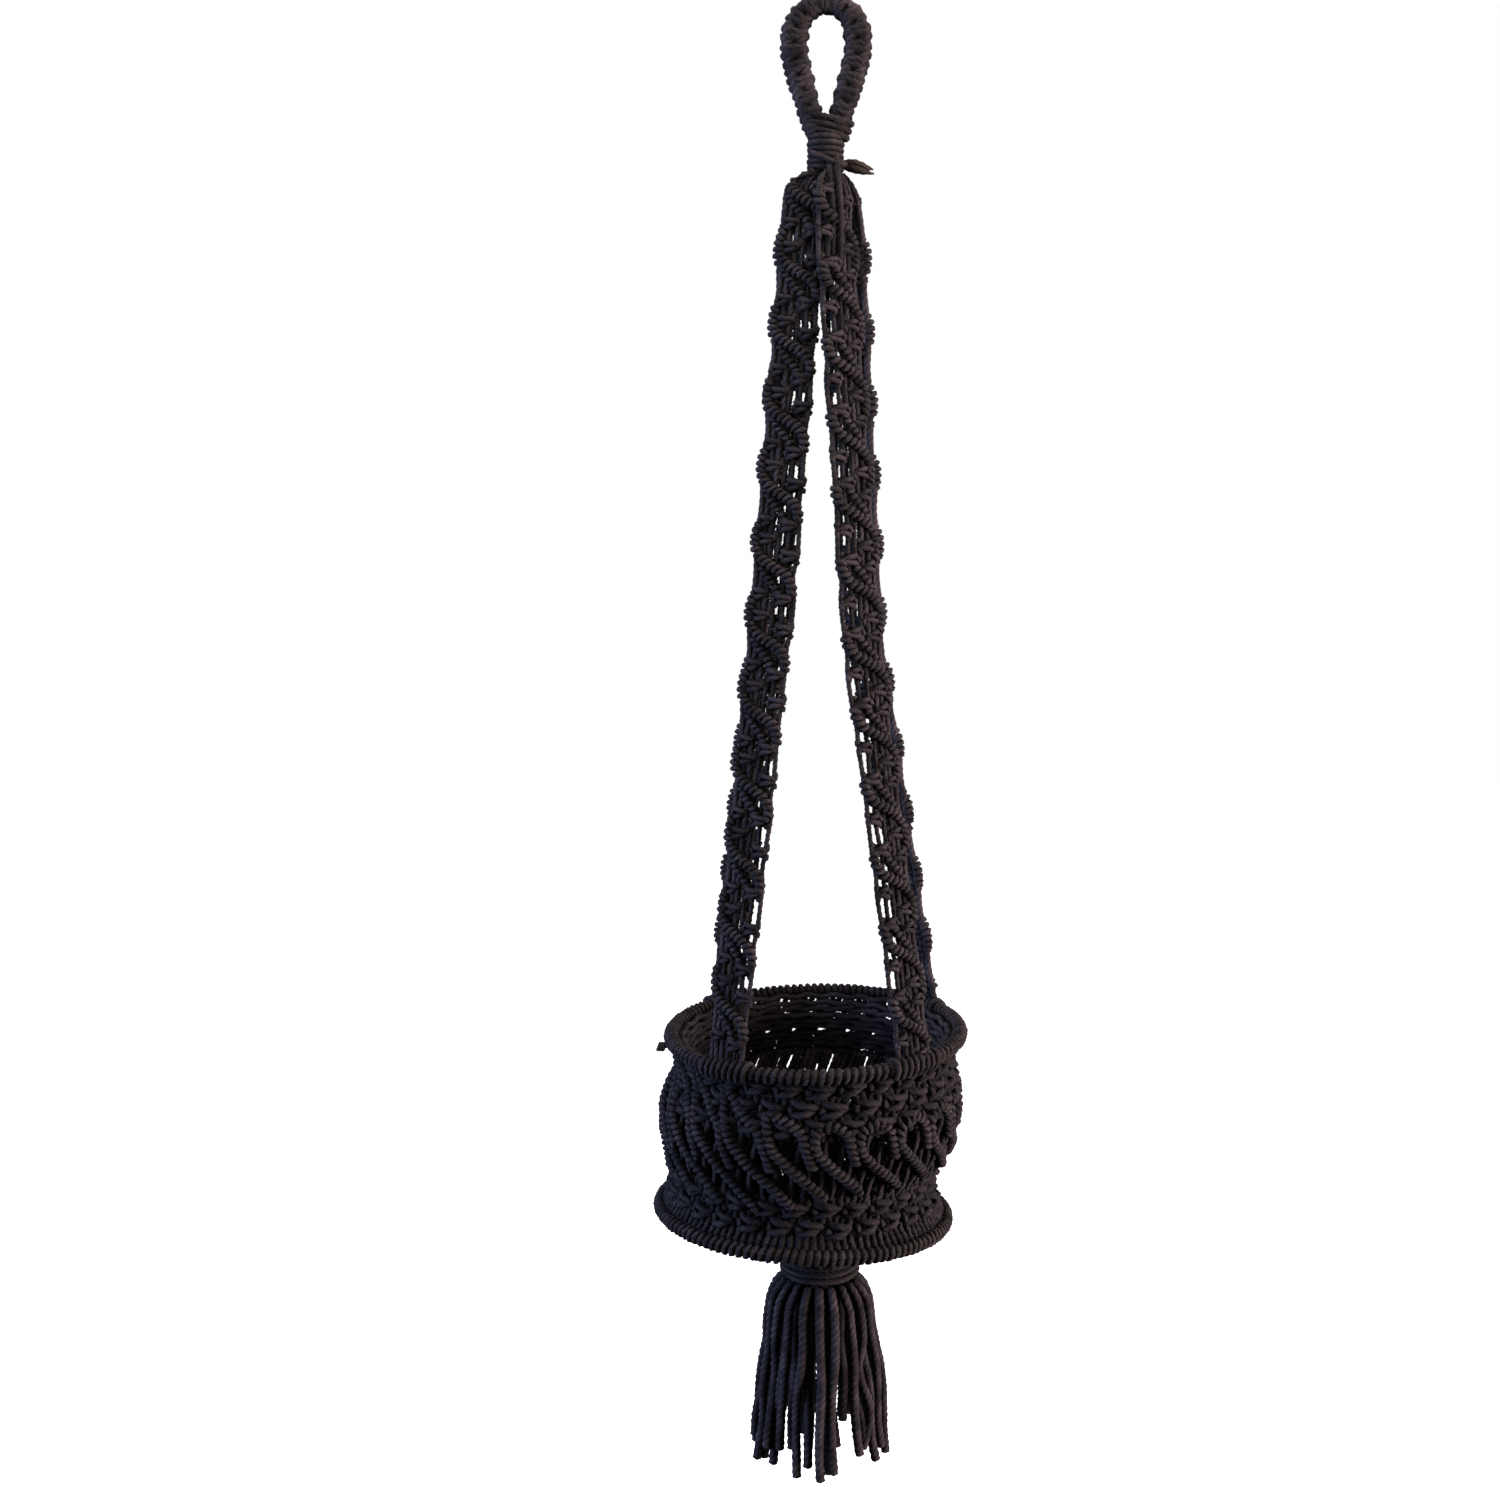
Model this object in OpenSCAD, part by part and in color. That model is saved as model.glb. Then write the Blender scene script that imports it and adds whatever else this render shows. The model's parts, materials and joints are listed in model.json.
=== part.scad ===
// Hanging macrame planter: a covered hanging loop, four knotted straps, two wire hoops
// joined by a knotted wall, a gathered net base and a tassel.
// The origin is the point where a hook bears on the inside of the hanging loop.
// +Z is up and the front faces -Y.

/* [Hanging loop] */
// Width of the eye in the hanging loop
eye_w = 22.5; // [18:0.5:26]
// Height of the eye from the bearing point to its pointed bottom
eye_h = 60; // [50:1:64]
// Overall width of the hanging loop
loop_w = 60; // [54:1:70]
// Thickness of the covered loop above the hook
loop_top = 11; // [10:0.5:14]
// Thickness of the covered loop from front to back
loop_depth = 17; // [14:0.5:22]
// Distance from the bearing point down to the top of the neck wrap
neck_drop = 75; // [72:1:82]

/* [Neck and crown] */
// Outer diameter of the neck wrap
neck_d = 25; // [22:0.5:30]
// Height of the neck wrap
neck_h = 23; // [18:1:30]
// Turns of cord in the neck wrap
neck_turns = 6; // [4:1:7]
// Length of the loose tail that leaves the neck wrap
tail_len = 21; // [12:1:30]
// Width of the crown where the straps leave it
crown_w = 52; // [50:1:60]

/* [Straps] */
// Cords laid side by side in one strap
strap_cords = 6; // [4:1:6]
// Diameter of one strap cord
strap_cord_d = 4.4; // [3.5:0.1:4.6]
// Distance from one strap cord to the next
strap_pitch = 5; // [4.8:0.1:5]
// Diagonal rows of hitches along one strap
hitch_rows = 11; // [6:1:12]
// Thickness of a row of hitches
hitch_d = 7.6; // [6:0.2:8]

/* [Hoops] */
// Outer diameter of the bare wire hoop
hoop_od = 203; // [190:1:210]
// Diameter of the hoop wire
wire_d = 5; // [4:0.5:6]
// Diameter over the cord that covers a hoop
cover_d = 12; // [11:0.5:13]
// Distance from the bearing point down to the upper hoop
upper_drop = 669.5; // [600:0.5:720]
// Distance from the upper hoop down to the lower hoop
basket_h = 126.5; // [122:0.5:140]
// Sideways offset of the upper hoop as it hangs
upper_shift = -4; // [-6:1:6]
// Sideways offset of the lower hoop as it hangs
lower_shift = -12; // [-14:1:14]
// Tilt of the upper hoop, right side up, in degrees
upper_tilt = 1.5; // [-2:0.1:2]
// Tilt of the lower hoop, right side up, in degrees
lower_tilt = -2.2; // [-3:0.1:3]
// Pitch of the upper hoop, rear side up, in degrees
upper_pitch = 1; // [-2:0.1:2]
// Pitch of the lower hoop, rear side up, in degrees
lower_pitch = -3.1; // [-4:0.1:2]

/* [Wall and base] */
// Outer radius of the knotted wall
wall_r = 101; // [99:0.5:104]
// Outer radius at the waist above the lower hoop
waist_r = 91; // [89:0.5:95]
// Thickness of the knotted wall
wall_t = 6; // [5:0.5:7]
// Distance from the lower hoop down to the middle of the tassel collar
collar_drop = 39; // [38:1:64]

/* [Tassel] */
// Outer diameter of the tassel collar
collar_d = 57; // [40:1:60]
// Turns of cord in the tassel collar
collar_turns = 3; // [3:1:4]
// Diameter of a tassel strand
strand_d = 6; // [4:0.5:6.5]
// Distance from the middle of the collar down to the end of the longest strand
tassel_h = 141; // [110:1:180]
// Radius of the tassel at its lower edge
skirt_r = 51; // [44:1:58]

/* [Hidden] */
$fn = 64;

cord_black = [0.16, 0.15, 0.17];
cord_blue_black = [0.14, 0.15, 0.19];
cord_warm_black = [0.19, 0.16, 0.15];
wire_grey = [0.45, 0.45, 0.47];

arc_steps = 24;
cord_sides = 10;
// Clearance between parts that turn on each other
turn_gap = 0.4;
// Thin gap between parts that only touch
seam_gap = 0.3;
// How far a part reaches into the one it is tied to
bite = 2;

// Hanging loop: half widths, and where the outer arc is centred
eye_r = eye_w / 2;
loop_r = loop_w / 2;
loop_arc_z = loop_top - loop_r;
cover_t = 4;
core_skin = 3.5;
core_depth = loop_depth - 2 * cover_t;
core_outer_r = loop_r - core_skin - 1;
core_inner_r = eye_r + core_skin + 1;
// The loop narrows to the neck just above the wrap
loop_tip_z = 3 - neck_drop;
core_tip_z = -eye_h - 7;

// Neck and crown
neck_r = neck_d / 2;
neck_core_r = neck_r - 4;
neck_bottom = -neck_drop - neck_h;
ball_r = 11;
filler_r = 7;
swing_z = neck_bottom - turn_gap - ball_r;
crown_r = crown_w / 2;
crown_x = -4;
crown_shoulder_z = swing_z - 9;
crown_bottom = swing_z - 23;
tail_z = neck_bottom + 6;
tail_r = 3.6;
tail_tip_r = 1.8;

// Hoops: each is drawn flat round its own axis, then hung at its offset and tilt
hoop_r = (hoop_od - wire_d) / 2;
cover_r = cover_d / 2;
upper_z = -upper_drop;
lower_z = upper_z - basket_h;

// Each strap: angle of its foot on the hoop, which way its rows run across there (1 in front,
// -1 at the rear), then its place at the crown and at its middle, each [x, y, turn in degrees]
FRONT_LEFT = [235, 1, [-13.5, -13, -15], [-35, -47, -15]];
FRONT_RIGHT = [310, 1, [7, -13.5, 48], [26, -44, 40]];
REAR_LEFT = [131, -1, [-15.5, 12, 20], [-38, 44, 30]];
REAR_RIGHT = [38, -1, [13, 12, -30], [29.5, 38, -40]];
strap_mid_z = -400;
// Rows of hitches: where the first row and the last row lie along a strap, and their slant
first_hitch = 0.07;
last_hitch = 0.93;
hitch_slant = 0.03;
foot_span = 20;
foot_skin = 2;
// The knotted end of the hoop's covering cord
cord_end_deg = 189;
cord_end_r = 3.4;

// Wall: heights below the upper hoop where one band ends and the next begins
upper_band_end = 28;
lower_band_start = 92;
// The bands stop just short of the hoops' covers
cover_clear = 3;
wall_narrow = 2;
waist_h = 11;
waist_flare = 4;
ring_step = 7.5;
wall_steps = 4;

// Base net and tassel
collar_z = lower_z - collar_drop;
net_hole_r = collar_d / 2 + 1.3;
net_bottom = collar_z + 7;
net_t = 6;
net_bulge = 2;
net_mid_r = (hoop_r + net_hole_r) / 2;
collar_h = 13;
core_h = 20;
tassel_core_r = collar_d / 2 - 4.2;
strand_top = collar_z - collar_h / 2 - strand_d / 2 - 0.5;
shoulder_z = collar_z - 22;
tassel_end = collar_z - tassel_h;
skirt_end_r = skirt_r - strand_d / 2;
// Each ring of strands: count, radius at the collar, at the shoulder and at the ends, the
// share of the way out and down to the shoulder at which it bends, and its turn in degrees
OUTER_RING = [20, tassel_core_r, 34.5, skirt_end_r, 0.6, 0.4, 0];
MIDDLE_RING = [13, tassel_core_r * 0.7, 24.5, skirt_end_r * 0.65, 0.25, 0.6, 10];
INNER_RING = [6, tassel_core_r * 0.37, 13, skirt_end_r * 0.32, 0.25, 0.6, 20];
// The ends of the strands lie within a band, the longest at tassel_end
end_band = 8;
end_spread = 137;

// ---- shared shapes ----

function unit(v) = v / norm(v);
function mix(a, b, t) = a + (b - a) * t;

// The outline of a round arch that narrows along two tangents to a smaller arch or a point
function arc(r, z, from, to) = [
    for (i = [0:arc_steps])
        let (a = from + (to - from) * i / arc_steps)
            [r * cos(a), z + r * sin(a)]
];
function drop_points(r, z, tip_r, tip_z) =
    let (lean = asin((r - tip_r) / (z - tip_z)))
        concat(
            arc(r, z, -lean, 180 + lean),
            tip_r > 0 ? arc(tip_r, tip_z, 180 + lean, 360 - lean) : [[0, tip_z]]
        );

module drop_outline(r, z, tip_r, tip_z) {
    polygon(drop_points(r, z, tip_r, tip_z));
}

// Stands a flat outline upright, facing front, with the given thickness
module upright(depth) {
    rotate([90, 0, 0]) linear_extrude(depth, center = true) children();
}

// A straight round cord from p to q
module straight_cord(p, q, d) {
    run = q - p;
    length = norm(run);
    translate(p)
        rotate([0, acos(run.z / length), atan2(run.y, run.x)])
            cylinder(d = d, h = length, $fn = 32);
}

// A round cord through several points; side points across the cord, for laying out its rings
function bend_ring(dir, side, d) =
    let (u = unit(side - (side * dir) * dir), v = cross(dir, u))
        [
            for (i = [0:cord_sides - 1])
                let (a = i * 360 / cord_sides)
                    d / 2 * (u * cos(a) + v * sin(a))
        ];

module bent_cord(points, d, side) {
    last = len(points) - 1;
    rings = [
        for (i = [0:last])
            let (
                before = unit(points[max(i, 1)] - points[max(i, 1) - 1]),
                after = unit(points[min(i, last - 1) + 1] - points[min(i, last - 1)]),
                ring = bend_ring(unit(before + after), side, d)
            )
            [for (p = ring) points[i] + p]
    ];
    polyhedron(
        points = [for (ring = rings) each ring],
        faces = concat(
            [[for (j = [0:cord_sides - 1]) j]],
            [[for (j = [cord_sides - 1:-1:0]) last * cord_sides + j]],
            [
                for (i = [0:last - 1], j = [0:cord_sides - 1])
                    let (a = i * cord_sides + j, b = i * cord_sides + (j + 1) % cord_sides)
                    each [[a, a + cord_sides, b + cord_sides], [a, b + cord_sides, b]]
            ]
        ),
        convexity = 4
    );
}

// Turns of cord stacked round a bundle, centred on the axis
module cord_turns(outer_d, inner_r, height, turns) {
    turn_d = height / turns;
    rotate_extrude()
        difference() {
            union() {
                for (i = [0:turns - 1])
                    translate([outer_d / 2 - turn_d / 2, (i + 0.5) * turn_d - height / 2])
                        circle(d = turn_d);
                translate([0, -height / 2]) square([outer_d / 2 - turn_d / 2, height]);
            }
            translate([0, -height]) square([inner_r, 2 * height]);
        }
}

// Hangs a hoop group at its height, offset, tilt and pitch
module hung(z, shift, tilt, pitch) {
    translate([shift, 0, z]) rotate([pitch, -tilt, 0]) children();
}
module hung_upper() {
    hung(upper_z, upper_shift, upper_tilt, upper_pitch) children();
}
module hung_lower() {
    hung(lower_z, lower_shift, lower_tilt, lower_pitch) children();
}

// A point of a tilted ring, and a whole one; closed shells are made of these rings, down the
// outside and up the inside
function tilted(r, a, z, shift, tilt, pitch) =
    [
        shift + r * (cos(a) * cos(tilt) - sin(a) * sin(pitch) * sin(tilt)),
        r * sin(a) * cos(pitch),
        z + r * (cos(a) * sin(tilt) + sin(a) * sin(pitch) * cos(tilt))
    ];
function tilted_ring(r, z, shift, tilt, pitch) =
    [for (a = [0:ring_step:360 - ring_step]) tilted(r, a, z, shift, tilt, pitch)];

module ring_shell(rings) {
    around = len(rings[0]);
    count = len(rings);
    points = [for (ring = rings) each ring];
    polyhedron(
        points = points,
        faces = [
            for (i = [0:count - 1], j = [0:around - 1])
                let (
                    next_i = (i + 1) % count,
                    next_j = (j + 1) % around,
                    a = i * around + j,
                    b = i * around + next_j,
                    c = next_i * around + next_j,
                    d = next_i * around + j
                )
                each [[a, b, c], [a, c, d]]
        ],
        convexity = 6
    );
}

// ---- hanging loop ----

module loop_outline() {
    drop_outline(loop_r, loop_arc_z, neck_r, loop_tip_z);
}

module loop_core_outline() {
    difference() {
        drop_outline(core_outer_r, loop_top - core_skin - core_outer_r, neck_core_r, loop_tip_z);
        drop_outline(core_inner_r, core_skin - core_inner_r, 0, core_tip_z);
    }
}

module above_neck() {
    intersection() {
        children();
        translate([-loop_w, -neck_drop]) square(2 * loop_w);
    }
}

module loop_core_cords() {
    color(cord_black) upright(core_depth) above_neck() loop_core_outline();
}

module loop_cover() {
    color(cord_black)
        difference() {
            upright(loop_depth)
                above_neck()
                    difference() {
                        loop_outline();
                        drop_outline(eye_r, -eye_r, 0, -eye_h);
                    }
            loop_core_cords();
        }
}

// ---- neck ----

module neck_core_cords() {
    color(cord_black)
        translate([0, 0, neck_bottom])
            cylinder(r = neck_core_r, h = neck_h - turn_gap);
}

module neck_wrap() {
    height = neck_h - turn_gap;
    color(cord_black)
        translate([0, 0, neck_bottom + height / 2])
            cord_turns(neck_d, neck_core_r, height, neck_turns);
}

module neck_wrap_tail() {
    color(cord_warm_black)
        translate([neck_r - bite, 0, tail_z])
            rotate([0, 90, 0])
                cylinder(r1 = tail_r, r2 = tail_tip_r, h = tail_len + bite);
}

// ---- crown ----

module crown_filler_cords() {
    color(cord_black) translate([0, 0, swing_z]) sphere(r = filler_r);
}

// The cords of all the straps, spreading from the neck as a bell
module crown_fold() {
    color(cord_blue_black)
        difference() {
            union() {
                translate([0, 0, swing_z]) sphere(r = ball_r);
                translate([crown_x, 0, 0])
                    rotate_extrude()
                        polygon([
                            [0, swing_z + bite], [ball_r - bite, swing_z + bite],
                            [crown_r - bite, crown_shoulder_z], [crown_r, crown_bottom],
                            [0, crown_bottom]
                        ]);
            }
            translate([0, 0, swing_z]) sphere(r = filler_r + turn_gap);
        }
}

// ---- straps ----

// A strap's place at the crown or its middle, and at the hoop, a distance across from its
// own middle line, measured from left to right as seen from the front
function strap_station(station, z, across) =
    [station.x, station.y, z] + across * [cos(station.z), sin(station.z), 0];
function strap_top(strap, across) = strap_station(strap[2], crown_bottom + bite, across);
function strap_middle(strap, across) = strap_station(strap[3], strap_mid_z, across);
function strap_foot(strap, across) =
    tilted(hoop_r, strap[0], upper_z + cover_r - bite, upper_shift, upper_tilt, upper_pitch)
    + across * strap[1] * [-sin(strap[0]), cos(strap[0]), 0];

// A point of a strap: t runs from 0 at the crown to 1 at the hoop
function strap_point(strap, t, across) = t < 0.5
    ? mix(strap_top(strap, across), strap_middle(strap, across), 2 * t)
    : mix(strap_middle(strap, across), strap_foot(strap, across), 2 * t - 1);

module strap_cords_of(strap) {
    for (i = [0:strap_cords - 1]) {
        across = (i - (strap_cords - 1) / 2) * strap_pitch;
        bent_cord(
            [strap_top(strap, across), strap_middle(strap, across), strap_foot(strap, across)],
            strap_cord_d,
            [1, 0, 0]
        );
    }
}

// Diagonal rows of hitches, from upper left to lower right, round all the cords
module strap_hitches_of(strap) {
    edge = (strap_cords - 1) / 2 * strap_pitch;
    for (i = [0:hitch_rows - 1]) {
        t = mix(first_hitch, last_hitch, i / (hitch_rows - 1));
        left = strap_point(strap, t - hitch_slant, -edge);
        right = strap_point(strap, t + hitch_slant, edge);
        straight_cord(left, right, hitch_d);
    }
}

module strap_front_left_cords() { color(cord_blue_black) strap_cords_of(FRONT_LEFT); }
module strap_front_right_cords() { color(cord_warm_black) strap_cords_of(FRONT_RIGHT); }
module strap_rear_left_cords() { color(cord_black) strap_cords_of(REAR_LEFT); }
module strap_rear_right_cords() { color(cord_black) strap_cords_of(REAR_RIGHT); }
module strap_front_left_hitches() { color(cord_blue_black) strap_hitches_of(FRONT_LEFT); }
module strap_front_right_hitches() { color(cord_warm_black) strap_hitches_of(FRONT_RIGHT); }
module strap_rear_left_hitches() { color(cord_black) strap_hitches_of(REAR_LEFT); }
module strap_rear_right_hitches() { color(cord_black) strap_hitches_of(REAR_RIGHT); }

// ---- hoops ----

module wire_ring() {
    rotate_extrude() translate([hoop_r, 0]) circle(d = wire_d);
}

module covered_ring() {
    rotate_extrude()
        translate([hoop_r, 0])
            difference() {
                circle(d = cover_d);
                circle(d = wire_d);
            }
}

module upper_hoop() {
    color(wire_grey) hung_upper() wire_ring();
}

module upper_hoop_cover() {
    color(cord_black) hung_upper() covered_ring();
}

// The strap cords hitched round the covered hoop: a short sleeve over it at each foot
module strap_foot_hitches() {
    sleeve_r = cover_r + foot_skin;
    color(cord_black)
        hung_upper()
            for (strap = [FRONT_LEFT, FRONT_RIGHT, REAR_LEFT, REAR_RIGHT])
                rotate(strap[0] - foot_span / 2)
                    rotate_extrude(angle = foot_span)
                        translate([hoop_r, 0])
                            difference() {
                                circle(r = sleeve_r);
                                circle(r = cover_r);
                                translate([-2 * sleeve_r, -2 * sleeve_r])
                                    square([4 * sleeve_r, 2 * sleeve_r]);
                            }
}

// The knotted end of the covering cord, on the left side of the upper hoop
module hoop_cord_end() {
    color(cord_warm_black)
        hung_upper()
            rotate(cord_end_deg)
                translate([hoop_r + cover_r + 1, 0, 1 - cover_r])
                    sphere(r = cord_end_r, $fn = 32);
}

module lower_hoop_wire() {
    color(wire_grey) hung_lower() wire_ring();
}

module lower_hoop_cover() {
    color(cord_black) hung_lower() covered_ring();
}

// ---- wall ----

// A band of knots under the upper hoop, shaped to the underside of its cover
module upper_knot_band() {
    color(cord_black)
        hung_upper()
            rotate_extrude()
                difference() {
                    translate([wall_r - wall_t, -upper_band_end])
                        square([wall_t, upper_band_end - cover_clear]);
                    translate([hoop_r, 0]) circle(d = cover_d);
                }
}

// A band of knots that draws in to the waist, then flares onto the lower hoop's cover
module lower_knot_band() {
    top = basket_h - lower_band_start;
    top_r = wall_r - wall_narrow;
    foot_r = waist_r + waist_flare;
    color(cord_black)
        hung_lower()
            rotate_extrude()
                difference() {
                    polygon([
                        [top_r, top], [waist_r, top - waist_h], [foot_r, bite],
                        [foot_r - wall_t, bite], [waist_r - wall_t, top - waist_h],
                        [top_r - wall_t, top]
                    ]);
                    translate([hoop_r, 0]) circle(d = cover_d);
                }
}

// One of the wall's rings: t runs from 0 under the upper band to 1 on the lower band
function wall_ring(t, inset) =
    tilted_ring(
        mix(wall_r, wall_r - wall_narrow, t) - inset,
        mix(upper_z - upper_band_end - seam_gap, upper_z - lower_band_start + seam_gap, t),
        mix(upper_shift, lower_shift, t),
        mix(upper_tilt, lower_tilt, t),
        mix(upper_pitch, lower_pitch, t)
    );

// The open knotted wall between the two bands, from one hoop's tilt to the other's
module basket_wall() {
    outer = [for (i = [0:wall_steps]) wall_ring(i / wall_steps, 0)];
    inner = [for (i = [wall_steps:-1:0]) wall_ring(i / wall_steps, wall_t)];
    color(cord_blue_black) ring_shell(concat(outer, inner));
}

// ---- base and tassel ----

// The cords drawn in under the lower hoop, round the top of the tassel
module base_net() {
    rim_z = lower_z - cover_r - 0.2;
    under_z = mix(net_bottom, rim_z, 0.72);
    over_z = mix(net_bottom, rim_z, 0.82) + cover_clear;
    tilt = lower_tilt / 2;
    pitch = lower_pitch / 2;
    color(cord_black)
        ring_shell([
            tilted_ring(hoop_r + 1, rim_z, lower_shift, lower_tilt, lower_pitch),
            tilted_ring(net_mid_r + net_bulge, under_z, lower_shift / 2, tilt, pitch),
            tilted_ring(net_hole_r + net_bulge, net_bottom, 0, 0, 0),
            tilted_ring(net_hole_r, net_bottom, 0, 0, 0),
            tilted_ring(net_hole_r, net_bottom + net_t, 0, 0, 0),
            tilted_ring(net_mid_r - net_bulge, over_z, lower_shift / 2, tilt, pitch),
            tilted_ring(hoop_r - net_t, rim_z, lower_shift, lower_tilt, lower_pitch)
        ]);
}

module tassel_filler_cords() {
    color(cord_black) translate([0, 0, collar_z]) sphere(r = filler_r);
}

// The gathered bundle inside the collar, its top and shoulder within the collar's own swing
module tassel_core() {
    color(cord_black)
        translate([0, 0, collar_z])
            rotate_extrude()
                difference() {
                    translate([0, -collar_h / 2]) square([tassel_core_r, core_h]);
                    circle(r = filler_r + turn_gap);
                }
}

module tassel_collar() {
    color(cord_black)
        translate([0, 0, collar_z])
            cord_turns(collar_d, tassel_core_r, collar_h, collar_turns);
}

// A ring of strands that spread over a shoulder and hang, each a little different in length
module strand_ring(ring) {
    for (i = [0:ring[0] - 1]) {
        angle = ring[6] + i * 360 / ring[0];
        tip_z = tassel_end + end_band * (1 + sin(end_spread * i + ring[6])) + 1;
        outward = [cos(angle), sin(angle), 0];
        bend_r = mix(ring[1], ring[2], ring[4]);
        bend_z = mix(strand_top, shoulder_z, ring[5]);
        bent_cord(
            [
                outward * ring[1] + [0, 0, strand_top],
                outward * bend_r + [0, 0, bend_z],
                outward * ring[2] + [0, 0, shoulder_z],
                outward * ring[3] + [0, 0, tip_z]
            ],
            strand_d,
            [-sin(angle), cos(angle), 0]
        );
    }
}

module tassel_outer_strands() {
    color(cord_blue_black) strand_ring(OUTER_RING);
}

module tassel_middle_strands() {
    color(cord_warm_black) strand_ring(MIDDLE_RING);
}

module tassel_inner_strands() {
    color(cord_black) {
        strand_ring(INNER_RING);
        translate([0, 0, tassel_end]) cylinder(d = strand_d, h = strand_top - tassel_end);
    }
}

loop_core_cords();
loop_cover();
neck_core_cords();
neck_wrap();
neck_wrap_tail();
crown_filler_cords();
crown_fold();
strap_front_left_cords();
strap_front_right_cords();
strap_rear_left_cords();
strap_rear_right_cords();
strap_front_left_hitches();
strap_front_right_hitches();
strap_rear_left_hitches();
strap_rear_right_hitches();
upper_hoop();
upper_hoop_cover();
strap_foot_hitches();
hoop_cord_end();
upper_knot_band();
basket_wall();
lower_knot_band();
lower_hoop_wire();
lower_hoop_cover();
base_net();
tassel_filler_cords();
tassel_core();
tassel_collar();
tassel_outer_strands();
tassel_middle_strands();
tassel_inner_strands();
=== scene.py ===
"""Looks of the hanging macrame planter: every cord is a twisted tube laid along the path it
takes through its knots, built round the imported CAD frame. Lengths are in millimetres until a
mesh is made."""

import json
import math

import bpy
import numpy as np
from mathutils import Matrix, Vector


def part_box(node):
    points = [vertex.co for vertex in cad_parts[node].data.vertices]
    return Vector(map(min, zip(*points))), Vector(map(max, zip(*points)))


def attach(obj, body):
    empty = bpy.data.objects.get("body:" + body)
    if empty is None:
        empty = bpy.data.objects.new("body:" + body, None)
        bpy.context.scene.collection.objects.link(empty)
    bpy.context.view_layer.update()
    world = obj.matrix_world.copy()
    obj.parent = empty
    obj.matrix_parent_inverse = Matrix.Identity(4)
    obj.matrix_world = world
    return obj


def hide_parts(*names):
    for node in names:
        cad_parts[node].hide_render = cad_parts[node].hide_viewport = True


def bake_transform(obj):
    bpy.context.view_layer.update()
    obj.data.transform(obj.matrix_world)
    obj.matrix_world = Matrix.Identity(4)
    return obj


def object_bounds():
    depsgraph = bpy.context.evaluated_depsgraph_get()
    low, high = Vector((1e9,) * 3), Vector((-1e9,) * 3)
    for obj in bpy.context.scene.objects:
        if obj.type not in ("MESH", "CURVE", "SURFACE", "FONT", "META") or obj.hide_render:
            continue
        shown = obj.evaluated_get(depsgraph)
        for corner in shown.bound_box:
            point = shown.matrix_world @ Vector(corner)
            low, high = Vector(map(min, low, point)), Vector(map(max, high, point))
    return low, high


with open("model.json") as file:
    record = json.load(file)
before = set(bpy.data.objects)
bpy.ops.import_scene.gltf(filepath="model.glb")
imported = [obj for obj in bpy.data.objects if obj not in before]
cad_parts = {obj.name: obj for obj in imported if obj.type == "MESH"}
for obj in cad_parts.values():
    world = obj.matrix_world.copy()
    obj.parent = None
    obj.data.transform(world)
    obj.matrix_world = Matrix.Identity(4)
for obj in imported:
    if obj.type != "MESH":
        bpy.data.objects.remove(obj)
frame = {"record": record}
cad_low, cad_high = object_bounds()
rng = np.random.default_rng(11)

MM = 0.001
TURN = 2 * math.pi
SIDES = 9  # points round a cord, three to each of its plies
STEP = 1.9  # distance between a cord's rings
LAY = 14.0  # length of cord in which its plies turn once
KNOT_CORD = 5.0  # diameters: the cord of the knots, of the ribs round a hoop and of the tassel
RIB_CORD = 4.6
STRAND_CORD = 7.0


# ---- the frame's own places, in millimetres ----

def node_box(name):
    low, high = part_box(name)
    return np.array(low) / MM, np.array(high) / MM


def joint_at(name):
    joint = next(j for j in frame["record"]["behaviour"]["joints"] if j["name"] == name)
    return np.array(joint["pos_m"]) / MM


def middle_of(name):
    low, high = node_box(name)
    return (low + high) / 2


UPPER, LOWER = middle_of("upper_hoop_cover"), middle_of("lower_hoop_cover")
UPPER_LEAN = np.radians([1.5, 1.0])  # tilt, right side up; pitch, rear side up
LOWER_LEAN = np.radians([-2.2, -3.1])
HOOP_R = 99.0  # from a hoop's middle to its wire
BASKET_H = UPPER[2] - LOWER[2]
SWING = joint_at("side_swing")
COLLAR = joint_at("tassel_side_swing")
COLLAR_R = (node_box("tassel_collar")[1] - node_box("tassel_collar")[0])[0] / 2
NECK_LOW, NECK_HIGH = node_box("neck_wrap")


def hang(x, y, z, centre, lean):
    """Tips places by a pitch and then a tilt, and moves them to where their ring hangs."""
    tilt, pitch = lean[..., 0], lean[..., 1]
    y, z = y * np.cos(pitch) - z * np.sin(pitch), y * np.sin(pitch) + z * np.cos(pitch)
    x, z = x * np.cos(tilt) - z * np.sin(tilt), x * np.sin(tilt) + z * np.cos(tilt)
    return np.stack([x, y, z], -1) + centre


# ---- camera, made first ----

def make_camera():
    """Stands in front, a little above the middle, and looks slightly down."""
    data = bpy.data.cameras.new("camera")
    data.lens, data.sensor_width = 40.9, 36.0
    camera = bpy.data.objects.new("camera", data)
    bpy.context.collection.objects.link(camera)
    camera.location = (0.0, -1.142, -0.335)
    camera.rotation_euler = (math.radians(90 - 7), 0, math.radians(2.45))
    bpy.context.scene.camera = camera


make_camera()


# ---- lines ----

def unit(v):
    return v / np.maximum(np.linalg.norm(v, axis=-1, keepdims=True), 1e-9)


def resample(line, step):
    """The same line with its points about one step apart."""
    line = np.asarray(line, float)
    gaps = np.linalg.norm(np.diff(line, axis=0), axis=1)
    along = np.concatenate([[0], np.cumsum(gaps)])
    count = max(3, int(round(along[-1] / step)) + 1)
    where = np.linspace(0, along[-1], count)
    return np.stack([np.interp(where, along, line[:, k]) for k in range(3)], axis=1)


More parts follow.
